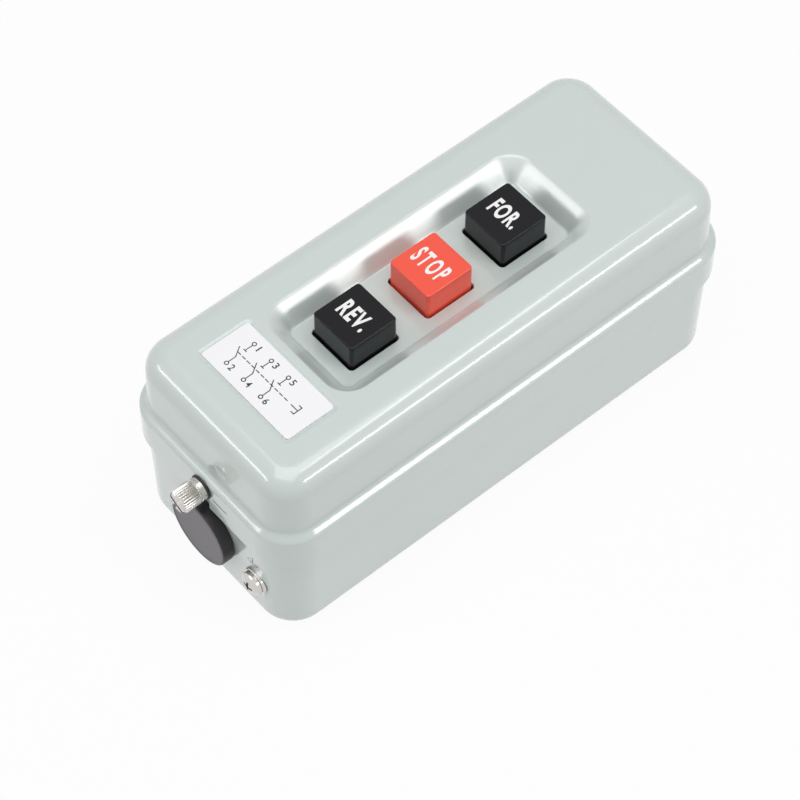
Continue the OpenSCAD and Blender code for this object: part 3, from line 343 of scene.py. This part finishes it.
# the dimple in the near end: where a ball that stands ball_out off the wall dips into it
dimple_y, dimple_z, ball, ball_out = -6.5, 51.0, 6.0, 5.6
distance = np.hypot(outer_grid[:, :, 1] - dimple_y, outer_grid[:, :, 2] - dimple_z)
sunk = np.maximum(np.sqrt(np.maximum(ball ** 2 - distance ** 2, 0)) - ball_out, 0)
outer_grid[:, :, 0] += np.where(outer_grid[:, :, 0] < 0, sunk, 0)

# the dish: a soft shoulder at the top, steepest near the foot
dish_half, dish_centre, dish_run, dish_depth = (45.1, 18.1), (-1.0, 0.0), 6.4, 6.2
dish_radius, radius_lost, under_out = 8.3, 6.5, 0.6
under_half = (dish_half[0] + under_out, dish_half[1] + under_out)
dish_z, under_z = top - dish_depth, top - dish_depth - sheet
slope = np.linspace(0, 1, 25)
steepness = np.interp(slope, [0, 0.12, 0.85, 1], [0, 1, 1.5, 0])
dip = np.concatenate([[0], np.cumsum(steepness[1:] + steepness[:-1])])
dip /= dip[-1]
short, long = np.linspace(-1, 1, 13), np.linspace(-1, 1, 33)
dish_places = columns(14, short, long, short, long)
dish_grid = rings(dish_run * slope, top - dish_depth * dip, dish_half, dish_radius - radius_lost * slope,
                  dish_places, dish_centre)
under_grid = rings(dish_run * slope[::-1], top - sheet - dish_depth * dip[::-1], under_half,
                   dish_radius + under_out - radius_lost * slope[::-1], dish_places, dish_centre)

# the label's seat and the windows
label_centre, seat_half, seat_radius, seat_run, seat_depth = (-56.4, 0.0), (9.25, 19.1), 2.2, 1.1, 0.3
seat_z = top - seat_depth
three = (np.linspace(-1, 1, 3),) * 4
seat_places = columns(6, *three)
seat_grid = rings(seat_run * rise, top - seat_depth * wave, seat_half, seat_radius - seat_run * rise,
                  seat_places, label_centre)
button_x = (-27.1, -1.0, 25.1)
window_half, window_radius, window_lip = (8.65, 8.65), 1.45, 0.25
lip = np.concatenate([arc(0.0, dish_z - window_lip, window_lip, 90, 0, 4), [[window_lip, under_z]]])
window_grids = [rings(lip[:, 0], lip[:, 1], window_half, window_radius - lip[:, 0], seat_places, (x, 0.0))
                for x in button_x]

cover_mesh = joined("cover shell", [
    skin(outer_grid), skin(inner_grid), skin(dish_grid), skin(under_grid), skin(seat_grid)]
    + [skin(grid) for grid in window_grids] + [
    fill([outer_grid[-1, :, :2], dish_grid[0, :, :2], seat_grid[0, :, :2]], top),
    fill([seat_grid[-1, :, :2]], seat_z),
    fill([dish_grid[-1, :, :2]] + [grid[0, :, :2] for grid in window_grids], dish_z),
    fill([under_grid[0, :, :2]] + [grid[-1, :, :2] for grid in window_grids], under_z, -1),
    fill([inner_grid[0, :, :2], under_grid[-1, :, :2]], top - sheet, -1)])
screw_y, screw_z, slot_radius, slot_low = -1.0, 41.0, 2.4, 30.0
slit_ends, slit_z, slit_radius = (-10.7, -5.3), 39.2, 0.35
near_wall = (-82, -77.5)
slot_outline = np.concatenate([[[screw_y - slot_radius, slot_low], [screw_y + slot_radius, slot_low]],
                               arc(screw_y, screw_z, slot_radius, 0, 180, 16)])
slit_outline = np.concatenate([arc(slit_ends[1], slit_z, slit_radius, -90, 90, 4),
                               arc(slit_ends[0], slit_z, slit_radius, 90, 270, 4)])
cover_mesh = cut(cover_mesh, [joined("slot", prism(slot_outline, *near_wall, 0)),
                              joined("slit", prism(slit_outline, *near_wall, 0))])
cover = piece("enamelled cover", cover_mesh, enamel, "cover", ["cover"])

# the slopes of the dish shine more, and the skirt's lower edge is painted paler: a painted highlight along
# the edge
bright = finish("bright enamel", grey_green, 0.36, coat=1.0, grain=900.0, depth=0.030, patches=0.012)
bright.node_tree.nodes["Principled BSDF"].inputs["Coat IOR"].default_value = 2.5
bright.node_tree.nodes["Principled BSDF"].inputs["Coat Roughness"].default_value = 0.34
# painted highlight: a paler copy of the enamel for the faces along the skirt's lower edge
edge_highlight_paint = finish("edge enamel painted highlight", (0.76, 0.81, 0.795), 0.36, coat=1.0, grain=700.0, depth=0.005)
cover.data.materials.append(bright)
cover.data.materials.append(edge_highlight_paint)
middles, facings = np.empty(len(cover.data.polygons) * 3), np.empty(len(cover.data.polygons) * 3)
cover.data.polygons.foreach_get("center", middles)
cover.data.polygons.foreach_get("normal", facings)
middles, facings = middles.reshape(-1, 3) * 1000, facings.reshape(-1, 3)
slope_middle, slope_reach = (-1.0, 0.0, 63.0), (44.7, 17.7, 2.8)
tilted = (facings[:, 2] > 0.3) & (facings[:, 2] < 0.97)
slopes = (np.abs(middles - slope_middle) < slope_reach).all(axis=1) & tilted
# the faces along the skirt's lower edge take the painted highlight colour
edges = middles[:, 2] < skirt_low + 0.5
cover.data.polygons.foreach_set("material_index", (slopes + 2 * edges).astype(np.int32))


# Tray: the drawn steel box underneath, in the same enamel. It has two fixing holes in its floor,
# a cable hole in each end, and at the near end the thumbscrew's notch and the earth screw's hole
# with a pressed earth mark above.
def circle(u, v, diameter, steps=48):
    """Anticlockwise circle about (u, v)."""
    return arc(u, v, diameter / 2, 0, 360, steps)[:-1]


tray_half, tray_radius, tray_sheet, tray_lean = (78.7, 32.7), 11.2, 1.2, 0.8
foot, rim, rim_z = 4.0, 0.3, 43.12
profile = np.concatenate([arc(tray_lean + foot, foot, foot, 270, 180, 10), arc(rim, rim_z, rim, 180, 90, 4),
                          arc(tray_sheet - rim, rim_z, rim, 90, 0, 4),
                          arc(tray_lean + foot, foot, foot - tray_sheet, 180, 270, 8)])
tray_places = columns(14, *(np.linspace(-1, 1, 7),) * 4)
tray_grid = rings(profile[:, 0], profile[:, 1], tray_half, tray_radius - profile[:, 0], tray_places)
tray_mesh = joined("tray shell", [skin(tray_grid), fill([tray_grid[0, :, :2]], 0.0, -1),
                                  fill([tray_grid[-1, :, :2]], tray_sheet)])
fixing_x, fixing_hole, cable_hole, cable_z = 65, 5.0, 19.0, 20.5
earth_y, earth_z, earth_hole = -19.6, 15.6, 4.4
notch_radius, notch_top = 2.3, 46.0
notch = np.concatenate([arc(screw_y, screw_z, notch_radius, 180, 360, 16),
                        [[screw_y + notch_radius, notch_top], [screw_y - notch_radius, notch_top]]])
near_side, far_side, pressed_in = (-80, -74), (74, 80), -77.88
earth_mark = [((-18.85, 23.3), (-18.4, 25.6)), ((-20.9, 23.0), (-16.4, 23.45)),
              ((-20.1, 22.1), (-17.2, 22.5)), ((-19.3, 21.2), (-18.0, 21.6))]
cutters = [joined("hole", prism(circle(x, 0, fixing_hole), -2, 3, 2)) for x in (-fixing_x, fixing_x)]
cutters += [joined("hole", prism(circle(0, cable_z, cable_hole, 72), *side, 0))
            for side in (near_side, far_side)]
cutters += [joined("hole", prism(circle(earth_y, earth_z, earth_hole), *near_side, 0)),
            joined("notch", prism(notch, -80, -75, 0))]
cutters += [joined("mark", prism(np.array([[a, b], [c, b], [c, d], [a, d]]), -80, pressed_in, 0))
            for (a, b), (c, d) in earth_mark]
piece("enamelled tray", cut(tray_mesh, cutters), enamel, "base", ["base_tray"])


# Rating label: a thin white-painted aluminium plate with rounded corners, stuck in its seat.
# It is printed with a plain line diagram of a three-pole switch and terminal numbers.
def lettering(words, height, width, weight, centre, low, high, spacing=1.0):
    """Words laid flat as raised ink, reading along -Y with their tops to +X: the letters are drawn in the
    built-in face with this spacing, thickened by weight, then scaled to this height and width about
    their middle."""
    curve = bpy.data.curves.new("words", "FONT")
    curve.body, curve.size, curve.offset, curve.extrude = words, 10.0, weight, 1.0
    curve.space_character = spacing
    drawn = bpy.data.objects.new("words", curve)
    scene.collection.objects.link(drawn)
    mesh = bpy.data.meshes.new_from_object(drawn.evaluated_get(bpy.context.evaluated_depsgraph_get()))
    flat = np.empty(len(mesh.vertices) * 3)
    mesh.vertices.foreach_get("co", flat)
    flat = flat.reshape(-1, 3)
    least, most = flat.min(axis=0), flat.max(axis=0)
    share = (flat - (least + most) / 2) / (most - least)
    flat = np.c_[centre[0] + share[:, 1] * height, centre[1] - share[:, 0] * width,
                 np.where(share[:, 2] > 0, high, low)]
    faces = [list(face.vertices) for face in mesh.polygons]
    bpy.data.objects.remove(drawn)
    return [(flat, np.array([face for face in faces if len(face) == count]))
            for count in sorted({len(face) for face in faces})]


def lines(ends, width, centre, low, high):
    """Straight ink lines given in reading coordinates (right, up): each is a bar of this width, half a
    width longer at either end, and stands a hair higher than the one before."""
    hair = 0.0005
    ends = np.asarray(ends, float).reshape(-1, 2, 2)
    ahead = ends[:, 1] - ends[:, 0]
    ahead /= np.linalg.norm(ahead, axis=1)[:, None]
    side = np.c_[-ahead[:, 1], ahead[:, 0]] * width / 2
    ahead = ahead * width / 2
    corner = np.stack([ends[:, 0] - ahead - side, ends[:, 1] + ahead - side,
                       ends[:, 1] + ahead + side, ends[:, 0] - ahead + side], axis=1)
    flat = np.stack([centre[0] + corner[:, :, 1], centre[1] - corner[:, :, 0]], axis=-1)
    tops = high + hair * np.arange(len(ends))
    points = np.concatenate([np.dstack([flat, np.full(flat.shape[:2], low)]),
                             np.dstack([flat, np.repeat(tops[:, None], 4, axis=1)])], axis=1)
    box = np.array([[3, 2, 1, 0], [4, 5, 6, 7], [0, 1, 5, 4], [1, 2, 6, 5], [2, 3, 7, 6], [3, 0, 4, 7]])
    faces = box[None] + 8 * np.arange(len(ends))[:, None, None]
    return points.reshape(-1, 3), faces.reshape(-1, 4)


def loop(u, v, radius, steps=14):
    """A circle as straight lines from each point to the next."""
    ring = arc(u, v, radius, 0, 360, steps)
    return np.stack([ring[:-1], ring[1:]], axis=1).tolist()


plate_white = finish("label white", (0.880, 0.875, 0.895), 0.42, grain=2500.0, depth=0.002, patches=0.01)
ink = finish("black ink", (0.030, 0.028, 0.034), 0.5, grain=2500.0, depth=0.001)
plate_half, plate_radius, plate_top, plate_edge = (7.85, 17.7), 0.9, 66.2, 0.12
plate_profile = np.concatenate([[[0.1, seat_z], [0.0, seat_z + 0.1]],
                                arc(plate_edge, plate_top - plate_edge, plate_edge, 180, 90, 4)])
plate_places = columns(8, *three)
plate_grid = rings(plate_profile[:, 0], plate_profile[:, 1], plate_half, plate_radius - plate_profile[:, 0],
                   plate_places, label_centre)
plate = joined("label plate", [skin(plate_grid), fill([plate_grid[0, :, :2]], seat_z, -1),
                               fill([plate_grid[-1, :, :2]], plate_top)])
piece("label plate", plate, plate_white, "cover", ["rating_label"])

# the diagram, right and up as it reads: three poles on a dashed link that a push handle works
row, terminal, post, hinge, swing, link = 4.6, 0.55, 1.5, -1.6, 1.9, -0.2
drawing = []
for u in (-11.0, -4.0, 3.0):
    drawing += loop(u, row, terminal) + loop(u, -row, terminal)
    drawing += [[[u, 4.0], [u, post]], [[u, -4.0], [u, hinge]], [[u, hinge], [u - swing, 1.2]]]
    drawing += [[[u - 0.5, post], [u + 0.5, post]]]
drawing += [[[u, link], [u + 1.1, link]] for u in np.arange(-11.8, 9.0, 1.9)]
drawing += [[[10.0, link], [12.6, link]], [[12.6, -1.6], [12.6, 1.2]], [[12.6, 1.2], [11.6, 1.2]],
            [[12.6, -1.6], [11.6, -1.6]]]
ink_heights = (plate_top - 0.01, plate_top + 0.015)
print_parts = [lines(drawing, 0.26, label_centre, *ink_heights)]
for number, u, v in (("1", -9.0, 4.5), ("3", -2.0, 4.5), ("5", 5.0, 4.5),
                     ("2", -9.0, -4.5), ("4", -2.0, -4.5), ("6", 5.0, -4.5)):
    width = 0.42 if number == "1" else 1.25
    print_parts += lettering(number, 2.1, width, 0.15, (label_centre[0] + v, -u), *ink_heights)
piece("label print", joined("label print", print_parts), ink, "cover", sharp=30)


# Button caps: moulded square caps with sharp glossy edges, black for reverse and forward, red for stop.
# Each is hollow, snapped over its plunger, and its legend is filled in white.
black = finish("black plastic", (0.006, 0.006, 0.008), 0.15, grain=700.0, depth=0.002, patches=0.1)
red = finish("red plastic", (0.90, 0.095, 0.055), 0.17, grain=700.0, depth=0.002, patches=0.02)
for plastic, shine in ((black, 0.22), (red, 0.40)):
    plastic.node_tree.nodes["Principled BSDF"].inputs["Specular IOR Level"].default_value = shine
white_fill = finish("white filling", (0.86, 0.86, 0.85), 0.4, grain=2000.0, depth=0.002)
cap_half, cap_radius, cap_low, cap_top, cap_edge, foot_edge = (7.95, 7.95), 1.1, 53.5, 68.3, 0.42, 0.15
hollow_half, hollow_radius, hollow_top = (7.8, 7.8), 0.4, 66.5
cap_profile = np.concatenate([[[0.25, cap_low]],
                              arc(foot_edge, cap_low + foot_edge, foot_edge, 270, 180, 3)[1:],
                              arc(cap_edge + 0.08, cap_top - cap_edge, cap_edge, 180, 90, 8)])
hollow = np.array([[1.4, hollow_top], [1.3, cap_low]])
cap_places = columns(8, *three)
for side, x, plastic, slot, words, letters in (
        ("reverse", button_x[0], black, "black_plastic", "REV.", (5.7, 9.8, 0.36, 1.22)),
        ("stop", button_x[1], red, "red_plastic", "STOP", (6.0, 11.1, 0.30, 1.40)),
        ("forward", button_x[2], black, "black_plastic", "FOR.", (5.7, 9.7, 0.36, 1.22))):
    outside = rings(cap_profile[:, 0], cap_profile[:, 1], cap_half, cap_radius - 0.5 * cap_profile[:, 0],
                    cap_places, (x, 0.0))
    inside = rings(hollow[:, 0], hollow[:, 1], hollow_half, hollow_radius, cap_places, (x, 0.0))
    cap = joined(side + " cap", [skin(outside), skin(inside),
                                 fill([outside[0, :, :2], inside[-1, :, :2]], cap_low, -1),
                                 fill([inside[0, :, :2]], hollow_top, -1),
                                 fill([outside[-1, :, :2]], cap_top)])
    piece(side + " cap", cap, plastic, side + "_button", [side + "_button"])
    height, width, weight, spacing = letters
    legend = lettering(words, height, width, weight, (x, 0.0), cap_top - 0.1, cap_top + 0.02, spacing)
    piece(side + " legend", joined(side + " legend", legend), white_fill, side + "_button", sharp=30)


# Thumbscrew and its washer: a turned brass screw, nickel plated, with a straight-knurled head and a
# cross cut in its front. The washer behind it is black fibre, trapped on the neck.
def turned(profile, centre, steps=96, knurl=0, groove=0.0):
    """A profile of (x, radius, knurled share) turned about an X axis: at angle a the radius is less
    groove * share * (1 - |sin(knurl * a / 2)| ^ 0.9)."""
    profile = np.asarray(profile, float)
    share = profile[:, 2] if profile.shape[1] > 2 else np.zeros(len(profile))
    angle = np.linspace(0, 2 * np.pi, steps, endpoint=False)
    lost = groove * (1 - np.abs(np.sin(knurl * angle / 2)) ** 0.9)
    reach = profile[:, 1:2] - share[:, None] * lost[None]
    return np.stack([np.broadcast_to(profile[:, :1], reach.shape), centre[0] + reach * np.cos(angle),
                     centre[1] + reach * np.sin(angle)], axis=-1)


def box_mm(node):
    """A CAD node's lowest corner, highest corner and middle, in mm."""
    low, high = (np.array(corner[:]) * 1000 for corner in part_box(node))
    return low, high, (low + high) / 2


def recess(middle, reach, width, angles, low, high):
    """Cutters for a cross: bars of this width that reach as far either way of the middle, turned by
    angles in degrees about an X axis."""
    bar = np.array([[-width / 2, -reach], [width / 2, -reach], [width / 2, reach], [-width / 2, reach]])
    return [joined("cross", prism(middle + bar @ np.array([[np.cos(a), np.sin(a)], [-np.sin(a), np.cos(a)]]),
                                  low, high, 0)) for a in np.radians(angles)]


nickel = finish("nickel plate", (0.62, 0.60, 0.57), 0.20, metallic=1.0, grain=1500.0, depth=0.002,
                patches=0.05)
rubber = finish("black rubber", (0.014, 0.013, 0.015), 0.48, grain=1300.0, depth=0.006, patches=0.15)
low, high, middle = box_mm("thumb_screw")
front, length = low[0], high[0] - low[0]
# how far behind the front, radius, and how deep the knurl is there: the head, the neck, the thread, the tip
screw_profile = [(0, 0.0, 0), (0, 2.5, 0), (0.12, 2.75, 0), (0.75, 3.3, 0.4), (0.95, 3.5, 1),
                 (5.7, 3.5, 1), (5.9, 3.35, 0.6), (6.1, 3.1, 0), (6.3, 3.1, 0),
                 (6.45, 3.35, 0), (7.75, 3.35, 0), (7.9, 3.2, 0), (7.9, 2.0, 0)]
screw_profile += [(8.6 + 0.3 * turn + x, r, 0) for turn in range(24) for x, r in ((0.0, 2.0), (0.15, 1.8))]
screw_profile += [(length - 0.3, 2.0, 0), (length, 1.7, 0), (length, 0.0, 0)]
screw_profile = np.array(screw_profile) + [front, 0, 0]
screw = joined("thumbscrew", [skin(turned(screw_profile, middle[1:], 364, 26, 0.55))])
cross = recess(middle[1:], 4.0, 1.0, (28, 118), front - 1, front + 1.2)
piece("thumbscrew", cut(screw, cross), nickel, "thumb_screw", ["thumb_screw"])
low, high, middle = box_mm("thumb_washer")
outside, bore = (high[1] - low[1]) / 2, 2.1
washer_profile = [(high[0], bore), (low[0] + 0.3, bore), (low[0] + 0.3, outside - 0.3),
                  (low[0] + 0.45, outside - 0.15), (high[0] - 0.15, outside - 0.15),
                  (high[0], outside - 0.3), (high[0], bore)]
washer = joined("thumbscrew washer", [skin(turned(washer_profile, middle[1:]))])
piece("thumbscrew washer", washer, rubber, "base", ["thumb_washer"])


# Cable plugs: moulded black rubber, pushed into the cable holes. The head is a thick disc with a
# rounded rim and a fine raised line round its face; a lip holds it behind the wall.
bloom = finish("rubber face", (0.155, 0.145, 0.155), 0.5, grain=900.0, depth=0.01, patches=0.1)
rim_edge, face_back, neck, lip_reach = 0.6, 0.15, 9.2, 10.5
for node, side in (("near_cable_plug", -1), ("far_cable_plug", 1)):
    low, high, middle = box_mm(node)
    front = max(abs(low[0]), abs(high[0]))
    end = min(abs(low[0]), abs(high[0]))
    rim = (high[1] - low[1]) / 2
    plug_profile = np.concatenate([
        [(face_back - front, 0.0), (face_back - front, rim - 1.25)],
        [(-front, rim - 1.1), (-front, rim - 0.8), (-front + 0.1, rim - 0.7)],
        arc(-front + 0.7, rim - rim_edge, rim_edge, 180, 90, 6),
        [(-front + 3.6, rim), (-front + 4.0, rim - 0.3), (-front + 4.0, neck), (-end - 1.5, neck)],
        [(-end - 1.5, lip_reach - 0.1), (-end - 1.2, lip_reach), (-end, lip_reach - 0.7), (-end, 0.0)]])
    grid = turned(plug_profile, middle[1:], 120)
    if side > 0:
        grid = grid[:, ::-1] * np.array([-1.0, 1.0, 1.0])
    plug_mesh = joined(node, [skin(grid)])
    plug = piece(node.replace("_", " "), plug_mesh, rubber, "base", [node], sharp=50)
    plug.data.materials.append(bloom)
    flat = np.empty(len(plug.data.polygons) * 3)
    plug.data.polygons.foreach_get("center", flat)
    on_face = np.abs(flat.reshape(-1, 3)[:, 0]) > (front - 0.2) * 0.001
    plug.data.polygons.foreach_set("material_index", on_face.astype(np.int32))


# Earth screw and washer: a nickel-plated pan-head screw with a cross recess, through the end wall.
# The head is a dome over a short rim, and the washer is a plain ring with a bevelled front edge.
low, high, middle = box_mm("earth_screw")
front, head, shank, dome_height = low[0], (high[1] - low[1]) / 2, 2.0, 2.0
dome = np.linspace(0, 1.25, 9)
head_profile = np.concatenate([
    np.c_[front + dome_height * (1 - np.cos(dome)), head * np.sin(dome) / np.sin(dome[-1])],
    [(front + 2.25, head), (front + 2.4, head - 0.15), (front + 2.4, shank), (high[0] - 0.3, shank)],
    [(high[0], shank - 0.3), (high[0], 0.0)]])
screw = joined("earth screw", [skin(turned(head_profile, middle[1:]))])
cross = recess(middle[1:], 1.75, 0.8, (90, 0), front - 1, front + 1.3)
piece("earth screw", cut(screw, cross), nickel, "base", ["earth_screw"])
low, high, middle = box_mm("earth_washer")
outside = (high[1] - low[1]) / 2
washer_profile = [(high[0], bore), (low[0], bore), (low[0], outside - 0.2), (low[0] + 0.2, outside),
                  (high[0], outside), (high[0], bore)]
washer = joined("earth washer", [skin(turned(washer_profile, middle[1:]))])
piece("earth washer", washer, nickel, "base", ["earth_washer"])


# Springs: wound steel wire with closed ends. Each pushes from one fixed end: the return springs from
# the frame's top, the contact springs from the bridges, and the latch spring from the frame's tab. Each
# rides the body of its fixed end and keeps its wound length.
def coil(low, high, across, wire, turns, axis, sides=10, steps=28):
    """Wire round an axis: a point of the wire's centre is at radius * (cos a, sin a) and a height that
    climbs by hardly more than the wire's own thickness in each closed end turn and evenly between;
    round it runs a circle of the wire's radius, square to the wire."""
    closed, radius = 0.9, (across - wire) / 2
    end_climb, whole = closed * wire * 1.02, high - low - wire
    a = np.linspace(0, turns, int(turns * steps) + 1)
    climb = np.interp(a, [0, closed, turns - closed, turns], [0, end_climb, whole - end_climb, whole])
    angle = 2 * np.pi * a
    line = np.c_[radius * np.cos(angle), radius * np.sin(angle), low + wire / 2 + climb]
    ahead = np.gradient(line, axis=0)
    ahead /= np.linalg.norm(ahead, axis=1)[:, None]
    out = np.c_[np.cos(angle), np.sin(angle), 0 * angle]
    over = np.cross(ahead, out)
    turn = np.linspace(0, 2 * np.pi, sides, endpoint=False)
    round_wire = np.cos(turn)[None, :, None] * out[:, None] + np.sin(turn)[None, :, None] * over[:, None]
    grid = np.roll(line[:, None] + wire / 2 * round_wire, axis + 1, axis=2)[:, ::-1]
    points, quads = skin(grid)
    number = np.arange(len(points)).reshape(grid.shape[:2])
    return [(points, quads), (points, number[:1, ::-1]), (points, number[-1:])]


spring_steel = finish("spring steel", (0.42, 0.42, 0.44), 0.37, metallic=1.0, grain=1500.0, depth=0.004)
return_wire, contact_wire, latch_wire = 1.0, 0.6, 0.7
for side, keep in (("reverse", 0.73), ("stop", 0.784), ("forward", 0.73)):
    low, high, middle = box_mm(side + "_spring")
    parts = [(points + np.array([middle[0], middle[1], 0.0]), faces)
             for points, faces in coil(low[2], high[2], high[0] - low[0], return_wire, 6, 2)]
    spring = piece(side + " return spring", joined(side + " spring", parts), spring_steel, "base",
                   [side + "_spring"], sharp=60)
    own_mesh(spring)
for side in ("reverse", "forward"):
    low, high, middle = box_mm(side + "_contact_springs")
    parts = [(points + np.array([middle[0], pole, 0.0]), faces) for pole in (-15.0, 0.0, 15.0)
             for points, faces in coil(low[2], high[2], high[0] - low[0], contact_wire, 3, 2)]
    spring = piece(side + " contact springs", joined(side + " contact springs", parts), spring_steel,
                   side + "_bridges", [side + "_contact_springs"], sharp=60)
    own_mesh(spring)
low, high, middle = box_mm("latch_spring")
parts = [(points + np.array([0.0, middle[1], middle[2]]), faces)
         for points, faces in coil(low[0], high[0], high[1] - low[1], latch_wire, 3.5, 0)]
spring = piece("latch return spring", joined("latch spring", parts), spring_steel, "base",
               ["latch_spring"], sharp=60)
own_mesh(spring)


# The switch unit inside, straight from the CAD part: moulded phenolic, stamped brass and copper,
# zinc-plated steel and a fibre sheet.
phenolic = finish("phenolic moulding", (0.050, 0.026, 0.018), 0.38, grain=600.0, depth=0.012,
                  patches=0.25)
zinc = finish("zinc-plated steel", (0.60, 0.61, 0.62), 0.37, metallic=1.0, grain=500.0, depth=0.004,
              patches=0.08)
brass = finish("brass strip", (0.70, 0.50, 0.20), 0.37, metallic=1.0, grain=500.0, depth=0.004,
               patches=0.08)
copper = finish("copper strip", (0.72, 0.34, 0.20), 0.37, metallic=1.0, grain=500.0, depth=0.004,
                patches=0.10)
fibre = finish("pressed fibre", (0.42, 0.34, 0.24), 0.75, grain=800.0, depth=0.03, patches=0.15)
made_of = (
    (phenolic, ["terminal_block", "reverse_carrier", "forward_carrier", "reverse_plunger", "stop_plunger",
                "forward_plunger"]),
    (zinc, ["mechanism_frame", "frame_screws", "latch_plate", "cover_tongue", "block_studs", "block_nuts",
            "thumb_clip", "reverse_carrier_pin", "forward_carrier_pin", "reverse_contact_posts",
            "forward_contact_posts", "earth_nut", "terminal_screws"]),
    (brass, ["line_strips", "motor_strips", "terminal_clamps"]),
    (copper, ["reverse_bridges", "forward_bridges", "cross_links"]),
    (fibre, ["insulating_sheet"]))
for material, names in made_of:
    for name in names:
        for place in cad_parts[name].material_slots:
            place.material = material
